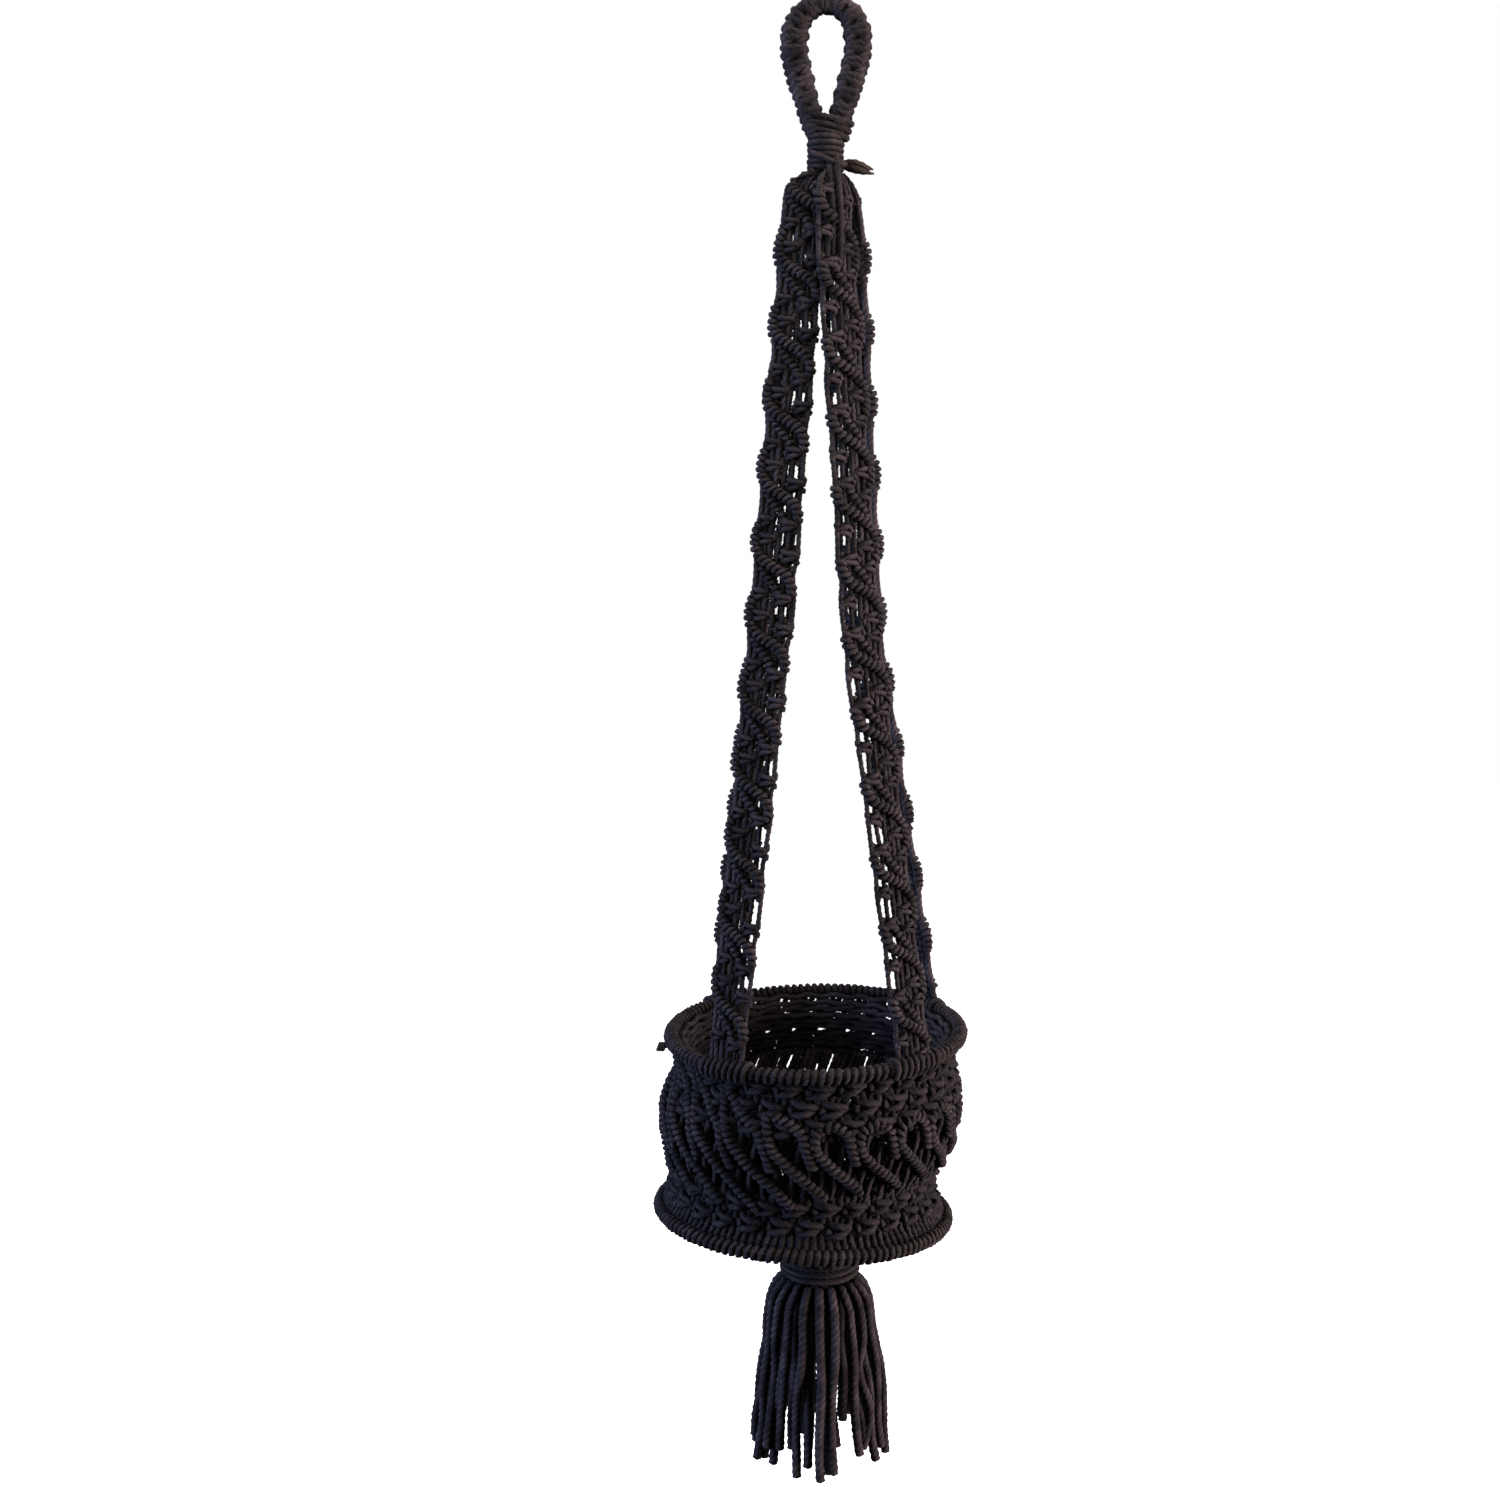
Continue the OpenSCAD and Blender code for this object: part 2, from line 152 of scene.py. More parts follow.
def curve_through(points, per=10):
    """A smooth curve through the points (Catmull-Rom)."""
    p = np.asarray(points, float)
    p = np.vstack([2 * p[0] - p[1], p, 2 * p[-1] - p[-2]])
    t = np.linspace(0, 1, per, endpoint=False)[:, None]
    pieces = []
    for a, b, c, d in zip(p[:-3], p[1:-2], p[2:-1], p[3:]):
        pieces.append(
            0.5 * (2 * b + (c - a) * t + (2 * a - 5 * b + 4 * c - d) * t**2
                   + (3 * b - a - 3 * c + d) * t**3)
        )
    pieces.append(p[-2][None])
    return np.vstack(pieces)


def coil_round(line, radius, pitch, start):
    """A helix round a line, its turns pitch apart, from the angle start."""
    line = resample(line, 1.0)
    tangent = unit(np.gradient(line, axis=0))
    side, other = frames(tangent)
    along = np.concatenate([[0], np.cumsum(np.linalg.norm(np.diff(line, axis=0), axis=1))])
    per_turn = 14
    count = int(along[-1] / pitch * per_turn)
    where = np.linspace(0, along[-1], count)
    pick = lambda values: np.stack([np.interp(where, along, values[:, k]) for k in range(3)], 1)
    angle = start + TURN * where / pitch
    return (pick(line) + radius * np.cos(angle)[:, None] * pick(side)
            + radius * np.sin(angle)[:, None] * pick(other))


def frames(tangent):
    """Two sides of a line that turn as little as possible along it."""
    first = np.array([0.0, 0.0, 1.0]) if abs(tangent[0][2]) < 0.8 else np.array([1.0, 0, 0])
    side = np.empty_like(tangent)
    side[0] = unit(first - (first @ tangent[0]) * tangent[0])
    for i in range(1, len(tangent)):
        turned = side[i - 1] - (side[i - 1] @ tangent[i]) * tangent[i]
        side[i] = turned / max(math.sqrt(turned @ turned), 1e-9)
    return side, np.cross(tangent, side)


# ---- cords ----

class Yarn:
    """Lengths of three-ply cord gathered into one mesh."""

    def __init__(self):
        self.points, self.quads, self.fans = [], [], []
        self.groove, self.fibre, self.count = [], [], 0

    def lay(self, line, diameter=KNOT_CORD, step=STEP, lay=LAY, taper=None):
        """Adds a cord along a line. taper lists its widths from end to end, as shares."""
        line = resample(line, step)
        tangent = unit(np.gradient(line, axis=0))
        side, other = frames(tangent)
        n = len(line)
        along = np.arange(n) * np.linalg.norm(np.diff(line, axis=0), axis=1).mean()
        round_ = np.arange(SIDES) * TURN / SIDES
        plies = np.cos(3 * round_)
        angle = round_[None] + rng.uniform(0, 6.28) + TURN * along[:, None] / lay
        width = np.ones(n) if taper is None else np.interp(
            np.linspace(0, 1, n), np.linspace(0, 1, len(taper)), taper)
        radius = diameter / 2 * width[:, None] * (0.93 + 0.09 * plies)[None]
        ring = (line[:, None] + (radius * np.cos(angle))[..., None] * side[:, None]
                + (radius * np.sin(angle))[..., None] * other[:, None])
        start = self.count
        self.points.append(ring.reshape(-1, 3))
        i, j = np.meshgrid(np.arange(n - 1), np.arange(SIDES), indexing="ij")
        a, b = start + i * SIDES + j, start + i * SIDES + (j + 1) % SIDES
        self.quads.append(np.stack([a, b, b + SIDES, a + SIDES], -1).reshape(-1, 4))
        # Painted shade: how deep each point lies in the groove between plies, which darkens its
        # colour
        self.groove.append(np.tile((1 - plies) / 2, n))
        shift = rng.uniform(0, 500)
        self.fibre.append(np.stack([
            np.repeat(along + shift, SIDES),
            np.tile(np.cos(round_) * diameter / 2, n),
            np.tile(np.sin(round_) * diameter / 2, n)], -1))
        self.count += n * SIDES
        # A low cone closes each end
        for end, out in ((0, -0.25), (n - 1, 0.25)):
            tip = line[end] + tangent[end] * out * diameter * width[end]
            self.points.append(tip[None])
            self.groove.append([0.3])
            self.fibre.append(np.array([[along[end] + shift, 0, 0]]))
            rim = start + end * SIDES + np.arange(SIDES)
            next_rim = start + end * SIDES + (np.arange(SIDES) + 1) % SIDES
            pair = (next_rim, rim) if end == 0 else (rim, next_rim)
            self.fans.append(np.stack([*pair, np.full(SIDES, self.count)], -1))
            self.count += 1
        return self

    def piece(self, name, body, slot, material, replaces):
        """Makes the mesh, which rides on a body unless it is None."""
        points = np.vstack(self.points) * MM
        quads, fans = np.vstack(self.quads), np.vstack(self.fans)
        corners = np.concatenate([quads.ravel(), fans.ravel()])
        sizes = np.concatenate([np.full(len(quads), 4), np.full(len(fans), 3)])
        mesh = bpy.data.meshes.new(name)
        mesh.vertices.add(len(points))
        mesh.vertices.foreach_set("co", points.ravel())
        mesh.loops.add(len(corners))
        mesh.loops.foreach_set("vertex_index", corners.astype(np.int32))
        mesh.polygons.add(len(sizes))
        mesh.polygons.foreach_set(
            "loop_start", np.concatenate([[0], np.cumsum(sizes)[:-1]]).astype(np.int32))
        mesh.update(calc_edges=True)
        mesh.polygons.foreach_set("use_smooth", np.ones(len(sizes), bool))
        groove = mesh.attributes.new("groove", "FLOAT", "POINT")
        groove.data.foreach_set("value", np.concatenate(self.groove).astype(np.float32))
        fibre = mesh.attributes.new("fibre", "FLOAT_VECTOR", "POINT")
        fibre.data.foreach_set("vector", np.vstack(self.fibre).astype(np.float32).ravel())
        mesh.materials.append(material)
        made = bpy.data.objects.new(name, mesh)
        bpy.context.collection.objects.link(made)
        if body is not None:
            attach(made, body)
        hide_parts(*replaces)
        return made


# ---- materials ----

def add_node(tree, kind, inputs=(), **settings):
    """A shader node with its settings, and fixed values for some of its inputs."""
    node = tree.nodes.new("ShaderNode" + kind)
    for key, value in settings.items():
        setattr(node, key, value)
    for key, value in dict(inputs).items():
        node.inputs[key].default_value = value
    return node


def new_material(name, inputs):
    """A material and its shader, with fixed values for some inputs."""
    material = bpy.data.materials.new(name)
    material.use_nodes = True
    shader = material.node_tree.nodes["Principled BSDF"]
    for key, value in inputs.items():
        shader.inputs[key].default_value = value
    return material, shader


def cord_material(name, dark, light, sheen):
    """Twisted cotton: streaks that follow the plies, painted shade in the grooves between plies and
    in the creases between cords, faint fading in patches.
    """
    material, shader = new_material(name, {
        "Specular IOR Level": 0.10, "Sheen Weight": sheen, "Sheen Roughness": 0.55,
        "Sheen Tint": (0.80, 0.80, 0.86, 1)})
    tree = material.node_tree
    link = tree.links.new

    fibre = add_node(tree, "Attribute", attribute_name="fibre")
    stretch = add_node(tree, "VectorMath", {1: (0.16, 1.5, 1.5)}, operation="MULTIPLY")
    link(fibre.outputs["Vector"], stretch.inputs[0])
    streaks = add_node(tree, "TexNoise", {"Scale": 2.2, "Detail": 3})
    link(stretch.outputs[0], streaks.inputs["Vector"])
    where = add_node(tree, "TexCoord")
    patches = add_node(tree, "TexNoise", {"Scale": 75, "Detail": 2})
    link(where.outputs["Object"], patches.inputs["Vector"])

    share = add_node(tree, "Math", {1: 0.9}, operation="MULTIPLY_ADD")
    link(streaks.outputs["Fac"], share.inputs[0])
    link(patches.outputs["Fac"], share.inputs[2])
    ramp = add_node(tree, "MapRange", {"From Min": 0.70, "From Max": 1.22})
    link(share.outputs[0], ramp.inputs["Value"])
    blend = add_node(tree, "Mix", data_type="RGBA")
    blend.inputs["A"].default_value = (*dark, 1)
    blend.inputs["B"].default_value = (*light, 1)
    link(ramp.outputs["Result"], blend.inputs["Factor"])

    # Painted shade: the colour is darker in the grooves between the plies
    groove = add_node(tree, "Attribute", attribute_name="groove")
    shade = add_node(tree, "MapRange", {"To Min": 1.0, "To Max": 0.35})
    link(groove.outputs["Fac"], shade.inputs["Value"])
    darker = add_node(tree, "VectorMath", operation="SCALE")
    link(blend.outputs["Result"], darker.inputs[0])
    link(shade.outputs["Result"], darker.inputs["Scale"])

    # Painted shade: the colour is darkened in the creases between cords, where light is lost
    crease_shade = add_node(tree, "AmbientOcclusion", {"Distance": 0.014}, samples=6)
    depth = add_node(tree, "Math", {1: 4.0}, operation="POWER")
    link(crease_shade.outputs["AO"], depth.inputs[0])
    shaded = add_node(tree, "VectorMath", operation="SCALE")
    link(darker.outputs[0], shaded.inputs[0])
    link(depth.outputs[0], shaded.inputs["Scale"])
    link(shaded.outputs[0], shader.inputs["Base Color"])

    rough = add_node(tree, "MapRange", {"To Min": 0.72, "To Max": 0.95})
    link(streaks.outputs["Fac"], rough.inputs["Value"])
    link(rough.outputs["Result"], shader.inputs["Roughness"])
    bump = add_node(tree, "Bump", {"Strength": 0.55, "Distance": 0.0006})
    link(streaks.outputs["Fac"], bump.inputs["Height"])
    link(bump.outputs["Normal"], shader.inputs["Normal"])
    return material


def wire_material():
    """Drawn steel with a fine grain."""
    material, shader = new_material("hoop_steel", {"Metallic": 1.0})
    tree = material.node_tree
    link = tree.links.new
    where = add_node(tree, "TexCoord")
    grain = add_node(tree, "TexNoise", {"Scale": 400})
    link(where.outputs["Object"], grain.inputs["Vector"])
    colour = add_node(tree, "Mix", data_type="RGBA")
    colour.inputs["A"].default_value = (0.34, 0.34, 0.35, 1)
    colour.inputs["B"].default_value = (0.46, 0.46, 0.47, 1)
    link(grain.outputs["Fac"], colour.inputs["Factor"])
    link(colour.outputs["Result"], shader.inputs["Base Color"])
    rough = add_node(tree, "MapRange", {"To Min": 0.3, "To Max": 0.5})
    link(grain.outputs["Fac"], rough.inputs["Value"])
    link(rough.outputs["Result"], shader.inputs["Roughness"])
    return material


COTTON = cord_material(
    "black_cotton", (0.0030, 0.0026, 0.0036), (0.060, 0.0490, 0.0570), 0.03)
COTTON_TIGHT = cord_material(
    "black_cotton_tight", (0.0045, 0.0039, 0.0048), (0.060, 0.049, 0.053), 0.03)
COTTON_WARM = cord_material(
    "black_cotton_faded", (0.020, 0.015, 0.011), (0.060, 0.045, 0.034), 0.05)
STEEL = wire_material()


# ---- tassel: its strands hang free, so each is its own piece ----

OUTER = 20  # strands in the tassel's outer ring
SHOULDER = 15  # drop over which a strand bulges out from the collar
SHORTER = 22  # how much shorter than the longest strand the shortest may be


def tassel_strands():
    """Forty strands that leave the collar, bulge over a shoulder and hang in slow waves. The
    second ring comes out into the gaps of the first, and seven strands fill the middle."""
    second = np.round(np.arange(13) * OUTER / 13) + 0.5
    third = np.arange(6) * OUTER / 6 + 0.56
    # Radii at the collar, the shoulder and the tips, and places round the tassel
    rings = ((24.0, 34.3, 48.5, np.arange(OUTER)), (16.8, 29.5, 43.5, second),
             (9.0, 14.0, 20.0, third), (0.6, 0.8, 1.5, [0]))
    top = node_box("tassel_outer_strands")[1][2] - STRAND_CORD / 2
    end = node_box("tassel_inner_strands")[0][2]
    number = 0
    for top_r, shoulder_r, end_r, places in rings:
        unrest = 1.0 if top_r > 20 else 0.5
        for place in places:
            number += 1
            angle = TURN * place / OUTER
            tip_z = end + 3 + rng.uniform(0, 1) ** 1.3 * SHORTER
            wave, phase = unrest * rng.uniform(0.8, 2.8), rng.uniform(0, 6.28)
            swing, turns = unrest * rng.uniform(-0.13, 0.13), rng.uniform(1.0, 2.2)
            reach = end_r * rng.uniform(0.84, 1.03)
            heights = np.linspace(0, 1, 26)
            z = top + (tip_z - top) * heights
            fall = np.clip((top - z) / SHOULDER, 0, 1)
            r = top_r + (shoulder_r - top_r) * np.sin(fall * np.pi / 2)
            r = r + (reach - shoulder_r) * np.clip((heights - 0.1) / 0.9, 0, 1)
            a = angle + swing * heights
            ripple = np.clip(heights * 3 - 0.4, 0, 1)
            r = r + wave * ripple * np.sin(phase + TURN * turns * heights)
            a = a + wave / np.maximum(r, 8) * ripple * np.cos(phase + 5.1 * turns * heights)
            line = np.stack([COLLAR[0] + r * np.cos(a), COLLAR[1] + r * np.sin(a), z], 1)
            line = resample(curve_through(line, 4), 3.0)
            made = Yarn().lay(line, STRAND_CORD, step=2.2, lay=15).piece(
                f"tassel_strand_{number:02d}", "tassel", "tassel_cord", COTTON,
                ("tassel_outer_strands", "tassel_middle_strands", "tassel_inner_strands"))


tassel_strands()


# ---- knots ----

CORE_SHARE = 0.34  # how far out a knot's two inner cords lie, as a share of its half width


def square_knot(middle, top, height, half, lift):
    """The cords of a square knot as local points (across, down, out): the cord that crosses
    in front twice, the two it is tied round, and the cord that crosses behind."""
    front = [(-half, 0, 0), (-half - 1.0, 0.14, 1.2), (0, 0.28, lift), (half + 1.2, 0.38, 1.4),
             (half - 1.0, 0.52, 0.5), (0, 0.68, lift), (-half - 1.2, 0.82, 0.8), (-half, 1.0, 0)]
    behind = [(half, 0, 0), (half + 1.4, 0.20, 2.2), (half - 2, 0.38, -lift * 0.8),
              (-half + 2, 0.32, -lift * 0.8), (-half - 1.6, 0.42, 1.8), (-half - 0.6, 0.62, 2.4),
              (-half + 2, 0.80, -lift * 0.8), (half - 2, 0.76, -lift * 0.8), (half + 1, 0.86, 0.8),
              (half, 1.0, 0)]
    core = half * CORE_SHARE
    fills = [[(side * core, 0, 0), (side * core, 1, 0)] for side in (-1, 1)]
    place = lambda line: [(middle + s, top + v * height, n) for s, v, n in line]
    return place(front), place(fills[0]), place(fills[1]), place(behind)


# ---- basket wall ----

LEAVES = 22  # leaves round the wall
LEAF_W = TURN * HOOP_R / LEAVES
KNOTS = 29  # knots round the wall in one row
KNOT_H = 13.4
KNOT_HALF = 7.4  # half of a knot's width
UPPER_ROWS = (4.5, 17.5, 30.5)  # where each row of knots starts, down from the upper hoop
LOWER_ROWS = (90.0, 103.0)
WALL_END = 122.0
EYE_V = 49.0  # the open eye of a leaf, down from the upper hoop
LEAF_S = -9.4  # how far along the hoop the leaves start
EYE_S = LEAF_S + 10.0


def wall_radius(v, angle):
    """The wall draws in under the upper hoop, bulges, and draws in again to a waist that is
    deeper on the right."""
    round_ = np.interp(v, [0, 6, 15, 30, 48, 66, 84, 95, 103, 112, WALL_END],
                       [96, 93, 91.5, 95, 97.5, 96.5, 92, 88, 86.5, 89, 96])
    left = np.maximum(0, -np.cos(angle))
    return (round_ - 2.5 * np.cos(angle) * np.exp(-((v - 100) / 14) ** 2)
            - 4.5 * left * np.exp(-((v - 25) / 11) ** 2))


def on_wall(points):
    """Places local points (along the hoop, down from the upper hoop, outward) on the wall."""
    p = np.asarray(points, float)
    angle, share = p[:, 0] / HOOP_R, p[:, 1:2] / BASKET_H
    r = wall_radius(p[:, 1], angle) + p[:, 2]
    return hang(r * np.cos(angle), r * np.sin(angle), 0 * r, UPPER + (LOWER - UPPER) * share,
                UPPER_LEAN + (LOWER_LEAN - UPPER_LEAN) * share)


def knot_rows(yarn, rows, first_row, start_v, end_v, place, knots=KNOTS, backed=True):
    """Alternating square knots. Each is tied with two cords of each knot above it. Cords that
    run on behind the rows back the knots, where the netting is close."""
    run = TURN * HOOP_R / knots
    spread = run / 4
    round_ = np.linspace(0, TURN * HOOP_R, 200)
    if backed:
        for behind in [top + down for top in rows for down in (-2.6, 1.6, 5.9)]:
            wave = behind + 0.8 * np.sin(round_ * 0.29 + behind)
            yarn.lay(place(np.stack([round_, wave, 0 * round_ - 3.8], 1)), 4.4)
    for k, top in enumerate(rows):
        offset = 0.5 if (first_row + k) % 2 else 0.0
        for i in range(knots):
            middle = (i + offset) * run
            knot = square_knot(middle + rng.uniform(-1.0, 1.0), top + rng.uniform(-1.0, 1.0),
                               KNOT_H, KNOT_HALF + rng.uniform(-0.6, 0.6), 4.6)
            for c, line in enumerate(knot):
                if k == 0:
                    lead = (middle + (c - 1.5) * spread, start_v, 0)
                else:
                    side = -1 if c < 2 else 1
                    inner = KNOT_HALF if c in (1, 2) else KNOT_HALF * CORE_SHARE
                    lead = (middle + side * (run / 2 - inner), top - 1.6, 0)
                full = [lead, *line]
                if k == len(rows) - 1:
                    s, rest = middle + (c - 1.5) * spread, end_v - top - KNOT_H
                    full += [(s, end_v - 0.55 * rest, rest * rng.uniform(-0.06, 0.06)),
                             (s + rest * rng.uniform(-0.05, 0.05), end_v,
                              rest * rng.uniform(-0.06, 0.06))]
                yarn.lay(place(resample(curve_through(full, 8), 1.3)), step=2.1)


def leftness(s):
    """1 on the left, where the leaves are longest, and 0 on the right of the front."""
    away = abs((math.degrees(s / HOOP_R) - 190 + 180) % 360 - 180)
    return 1 / (1 + math.exp((away - 62) / 8))


def leaf_ridges():
    """The two rows of hitches of every leaf. The long one drops past the eye and runs down to
    the right; the short one arches over the eye and runs down beside it."""
    for i in range(LEAVES):
        s = LEAF_S + i * LEAF_W
        e = leftness(s)
        jig = rng.uniform(-1.2, 1.2, 4)
        long_one = [(s + 2 - 18 * e + jig[0], 37 - 27 * e), (s - 1 - 8 * e, 44 - 14 * e),
                    (s, 52 - 3 * e), (s + 9 + 2 * e + jig[1], 62), (s + 23 + 6 * e, 74 + 5 * e),
                    (s + 31 + 16 * e, 81 + 17 * e)]
        short_one = [(s + 4 - 15 * e, 38 - 27 * e), (s + 11 + jig[2] - 3 * e, 35 - 5 * e),
                     (s + 19, 40 + e), (s + 22 + jig[3], 49 + 2 * e), (s + 25 + 5 * e, 60 + 8 * e)]
        yield long_one
        yield short_one


def push_from_eyes(s, v):
    """Cords spread round the open eye in the middle of each leaf."""
    nearest = np.round((s - EYE_S) / LEAF_W) * LEAF_W + EYE_S
    gap = s - nearest
    return s + np.sign(gap) * 3.6 * np.exp(-np.abs(gap) / 6) * np.exp(-((v - EYE_V) / 6.5) ** 2)


def make_wall():
    """Knot bands at the top and the waist; between them, two layers of leaf cords that cross,
    and the rows of hitches over them."""
    upper, lower, leaf, ridges = Yarn(), Yarn(), Yarn(), Yarn()
    leaf_top = UPPER_ROWS[-1] + KNOT_H
    knot_rows(upper, UPPER_ROWS, 0, 3.0, leaf_top + 1, on_wall)
    knot_rows(lower, LOWER_ROWS, 1, LOWER_ROWS[0] - 2, WALL_END, on_wall)
    v = np.linspace(leaf_top - 3, LOWER_ROWS[0] + 2, 18)
    share = (v - v[0]) / (v[-1] - v[0])
    for per_leaf, slant, depth, thick in ((3, -6.0, 0.4, 4.6), (6, 18.0, -5.2, 4.4)):
        for j in range(LEAVES * per_leaf):
            s = (j + 0.5) * LEAF_W / per_leaf + slant * (share - 0.5) + rng.uniform(-0.9, 0.9)
            n = depth + rng.uniform(-0.6, 0.6) + 1.1 * np.sin(v * 0.25 + j)
            along = push_from_eyes(s, v) if depth > 0 else s
            leaf.lay(on_wall(np.stack([along, v, n], 1)), thick, step=2.6)
    for ridge in leaf_ridges():
        line = curve_through([(s, v, 3.8) for s, v in ridge], 10)
        coil = coil_round(resample(line, 1.0), 2.2, 4.4, rng.uniform(0, 6))
        ridges.lay(on_wall(coil), 4.1, step=1.7)
    pieces = (
        (upper, "upper_knot_rows", ("upper_knot_band",)),
        (leaf, "wall_leaf_cords", ("basket_wall",)),
        (ridges, "wall_ridges", ("basket_wall",)),
        (lower, "lower_knot_rows", ("lower_knot_band",)),
    )
    for yarn, name, nodes in pieces:
        made = yarn.piece(name, None, "basket_cord", COTTON, nodes)
        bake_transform(made)


make_wall()


# ---- hoops ----

def on_hoop(points, centre, lean):
    """Places (angle, out from the wire, up) on a hung hoop."""
    p = np.asarray(points, float)
    r = HOOP_R + p[:, 1]
    return hang(r * np.cos(p[:, 0]), r * np.sin(p[:, 0]), p[:, 2], centre, lean)


RIBS = 124  # turns of the covering cord round a hoop
COVER_R = 5.6


def hoop_ribs(name, body, centre, lean, node):
    """The covering cord: hitches side by side over a strand that follows the wire."""
    yarn = Yarn()
    turn = np.linspace(0, TURN * 1.02, 20)
    for i in range(RIBS):
        middle = TURN * i / RIBS
        r = COVER_R - RIB_CORD / 2 + rng.uniform(-0.2, 0.2)
        angle = middle + 1.1 / HOOP_R * np.sin(turn) + rng.uniform(-0.002, 0.002)
        points = np.stack([angle, r * np.cos(turn), r * np.sin(turn)], 1)
        yarn.lay(on_hoop(points, centre, lean), RIB_CORD)
    round_ = np.linspace(0, TURN, 160)
    yarn.lay(on_hoop(np.stack([round_, 0 * round_, 0 * round_], 1), centre, lean), 7.6)
    yarn.piece(name, body, "basket_cord", COTTON_TIGHT, (node,))


hoop_ribs("upper_hoop_ribs", "basket", UPPER, UPPER_LEAN, "upper_hoop_cover")
hoop_ribs("lower_hoop_ribs", "base", LOWER, LOWER_LEAN, "lower_hoop_cover")
for wire in ("upper_hoop", "lower_hoop_wire"):
    carried = bpy.data.objects[wire]
    carried.data.materials.clear()
    carried.data.materials.append(STEEL)


# ---- straps ----
STRAP_MIDDLE_Z = -400.0


class Strap:
    """A band from the neck to the upper hoop, with local places (across, down, out). way is 1
    in front and -1 at the rear. The stations at the crown and the middle are each
    (x, y, turn in degrees)."""

    def __init__(self, name, foot_deg, way, facing, crown, middle):
        self.name, self.facing, self.foot = name, facing, math.radians(foot_deg)
        crown_z = node_box(name + "_cords")[1][2]
        away = unit(np.array([crown[0] + 4.0, crown[1], 0.0]))
        shoulder_x = -6.0 if crown[0] < 0 else -1.5
        foot_place = on_hoop([(self.foot, 0, 4.0)], UPPER, UPPER_LEAN)[0]
        stations = [
            SWING + 8.4 * away + [0, 0, 9.6], SWING + 13.0 * away + [shoulder_x, 0, 0.5],
            [crown[0], crown[1], crown_z], [middle[0], middle[1], STRAP_MIDDLE_Z], foot_place]
        # Straight runs with the bends rounded off
        line = resample(stations, 2.0)
        weights = np.hanning(19)
        padded = np.concatenate([np.repeat(line[:1], 9, 0), line, np.repeat(line[-1:], 9, 0)])
        smooth = np.stack([np.convolve(padded[:, k], weights / weights.sum(), "valid")
                           for k in range(3)], 1)
        smooth[0], smooth[-1] = line[0], line[-1]
        self.line = resample(smooth, 2.0)
        self.length = np.linalg.norm(np.diff(self.line, axis=0), axis=1).sum()
        foot_turn = math.degrees(math.atan2(way * math.cos(self.foot), -way * math.sin(self.foot)))
        self.turns = [crown[2], middle[2], foot_turn]
        self.way = way

    def place(self, points):
        """Puts local points on the band, which is narrower where it leaves the neck."""
        p = np.asarray(points, float)
        where = np.linspace(0, self.length, len(self.line))
        v = np.clip(p[:, 1], 0, self.length)
        tangent = unit(np.gradient(self.line, axis=0))
        pick = lambda values: np.stack([np.interp(v, where, values[:, k]) for k in range(3)], 1)
        turn = np.radians(np.interp(v, [20, self.length * 0.52, self.length], self.turns))
        across = np.stack([np.cos(turn), np.sin(turn), 0 * turn], 1)
        out = unit(np.cross(pick(tangent), across)) * self.way
        width = np.interp(v, [0, 7, 15, 30, self.length * 0.6, self.length],
                          [0.38, 0.80, 0.98, 1.0, 0.98, 0.9])
        return pick(self.line) + across * (width * p[:, 0])[:, None] + out * p[:, 2:3]


STRAPS = (
    Strap("strap_front_left", 235, 1, 1, (-13.5, -13, -15), (-35, -47, -15)),
    Strap("strap_front_right", 310, 1, -1, (7, -13.5, 48), (26, -44, 40)),
    Strap("strap_rear_left", 131, -1, 1, (-15.5, 12, 20), (-38, 44, 30)),
    Strap("strap_rear_right", 38, -1, -1, (13, 12, -30), (29.5, 38, -40)),
)
MODULES = 12  # repeats of the pattern in a strap


